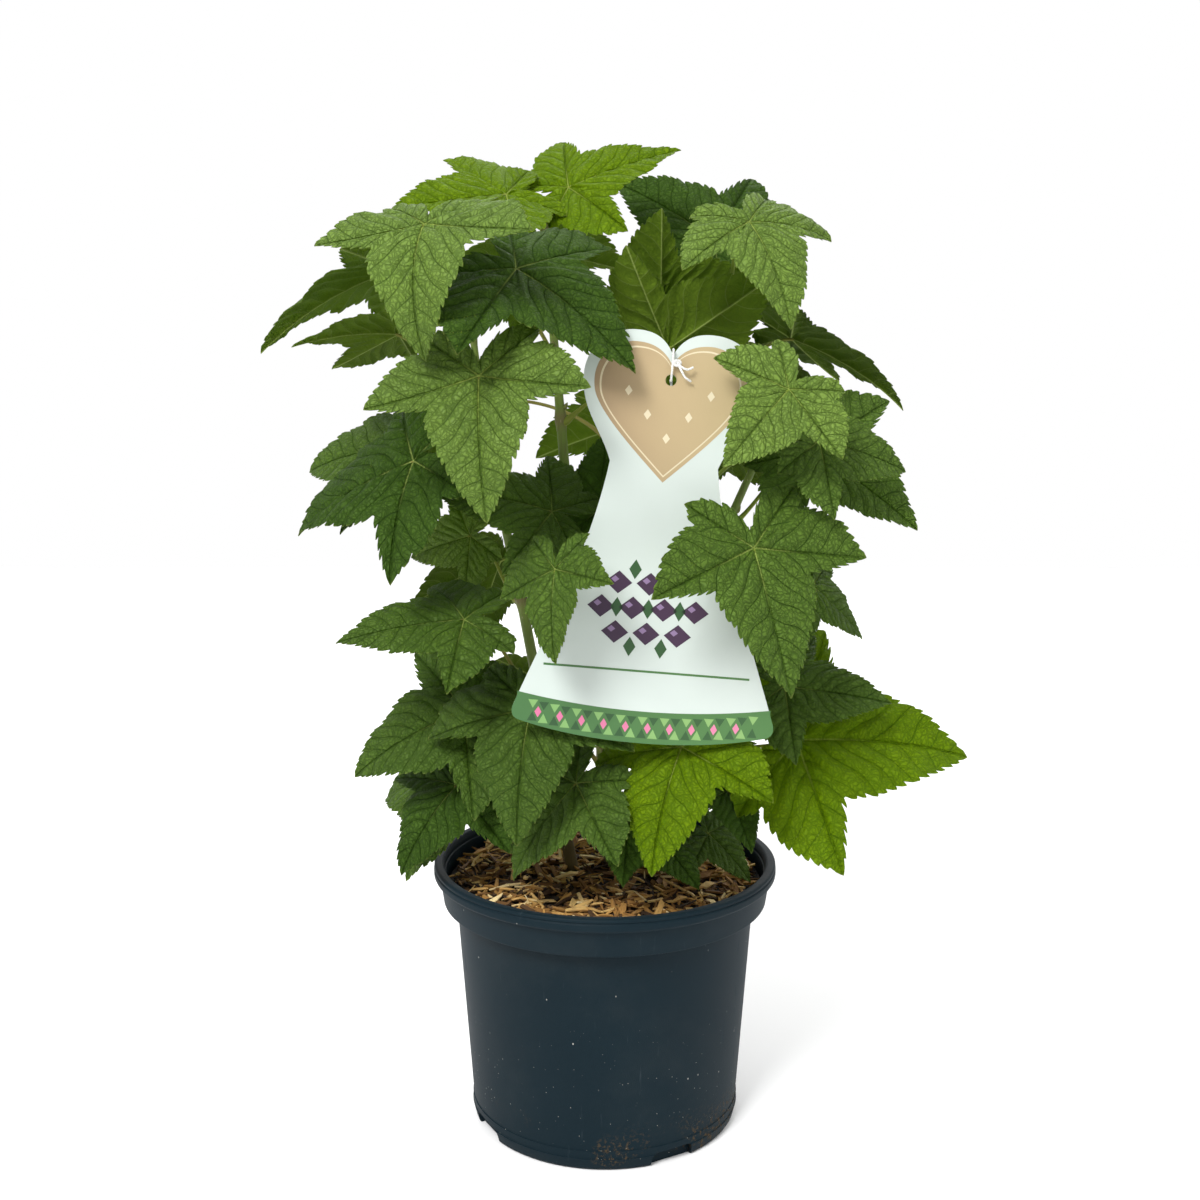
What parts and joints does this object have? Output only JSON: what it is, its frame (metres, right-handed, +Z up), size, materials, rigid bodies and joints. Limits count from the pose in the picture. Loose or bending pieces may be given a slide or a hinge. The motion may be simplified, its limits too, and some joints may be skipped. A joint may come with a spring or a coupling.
{
  "type": "potted blackcurrant bush",
  "caption": "Young blackcurrant bush with lobed, toothed leaves on canes, in a round nursery pot with wood-chip mulch and a heart-topped hang label on an elastic tie.",
  "frame": {"origin": "centre of the pot's flat base, on the surface that it stands on", "axes": "+Z up through the pot, -Y towards the side that carries the label, +X to the right seen from there"},
  "size_m": [0.4227, 0.3125, 0.6069],
  "materials": {
    "pot_plastic": "satin",
    "soil": "matte",
    "wood_chip": "matte",
    "cane_bark": "satin",
    "leaf_young": "satin",
    "leaf_light": "satin",
    "leaf_mid": "satin",
    "leaf_dark": "satin",
    "label_card": "satin",
    "tie_elastic": "matte"
  },
  "bodies": {
    "root": {"pot": "pot_plastic", "soil": "soil", "wood_chip_mulch": "wood_chip", "cane_middle": "cane_bark", "cane_right": "cane_bark", "cane_front": "cane_bark", "cane_left": "cane_bark", "cane_rear": "cane_bark", "leaf_01": "leaf_light", "leaf_02": "leaf_mid", "leaf_03": "leaf_mid", "leaf_04": "leaf_dark", "leaf_05": "leaf_light", "leaf_06": "leaf_dark", "leaf_07": "leaf_mid", "leaf_08": "leaf_young", "leaf_09": "leaf_young", "leaf_10": "leaf_dark", "leaf_11": "leaf_light", "leaf_12": "leaf_mid", "leaf_13": "leaf_mid", "leaf_14": "leaf_dark", "leaf_15": "leaf_light", "leaf_16": "leaf_mid", "leaf_17": "leaf_dark", "leaf_18": "leaf_mid", "leaf_19": "leaf_dark", "leaf_20": "leaf_mid", "leaf_21": "leaf_light", "leaf_22": "leaf_mid", "leaf_23": "leaf_mid", "leaf_24": "leaf_mid", "leaf_25": "leaf_dark", "leaf_26": "leaf_mid", "leaf_27": "leaf_mid", "leaf_28": "leaf_dark", "leaf_29": "leaf_young", "leaf_30": "leaf_dark", "leaf_31": "leaf_dark", "leaf_32": "leaf_mid", "leaf_33": "leaf_mid", "leaf_34": "leaf_mid", "leaf_35": "leaf_young", "leaf_36": "leaf_mid", "leaf_37": "leaf_mid", "leaf_38": "leaf_mid", "leaf_39": "leaf_dark", "leaf_40": "leaf_dark", "leaf_41": "leaf_mid", "leaf_42": "leaf_mid", "leaf_43": "leaf_dark", "leaf_44": "leaf_mid", "leaf_45": "leaf_mid", "leaf_46": "leaf_mid", "label": "label_card", "label_tie": "tie_elastic"}
  },
  "joints": []
}
